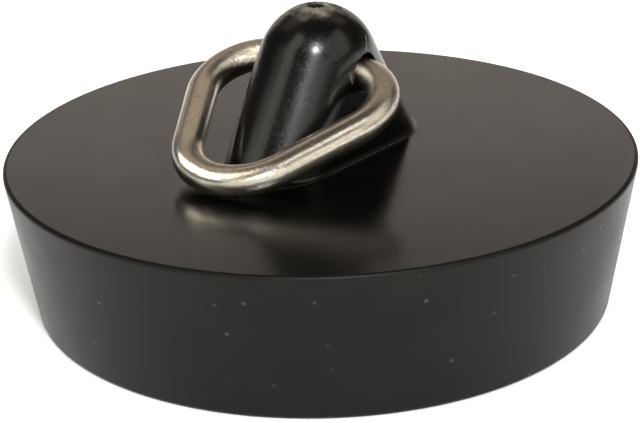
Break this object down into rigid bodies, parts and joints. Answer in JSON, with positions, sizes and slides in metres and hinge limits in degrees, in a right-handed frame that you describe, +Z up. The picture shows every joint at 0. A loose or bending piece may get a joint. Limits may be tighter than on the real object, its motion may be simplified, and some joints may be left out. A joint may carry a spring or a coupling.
{
  "type": "drain stopper",
  "caption": "Tapered rubber drain stopper with a domed lug on top and a free-swinging triangular wire ring through the lug, for lifting it out or fastening a chain.",
  "frame": {"origin": "middle of the plug's flat underside", "axes": "+Z up, out of the drain; the lug's cross hole runs along X; the ring lies towards -Y"},
  "size_m": [0.048, 0.048, 0.0229],
  "materials": {
    "black_rubber": "satin moulded",
    "plated_wire": "bright nickel plating, slightly speckled"
  },
  "bodies": {
    "stopper": {"stopper_body": "black_rubber"},
    "ring": {"pull_ring": "plated_wire"}
  },
  "joints": [
    {"name": "ring_swing", "type": "hinge", "parent": "stopper", "child": "ring", "pos_m": [0, 0.0008, 0.018], "axis": [-1, 0, 0], "range_deg": [0, 135.8]}
  ]
}
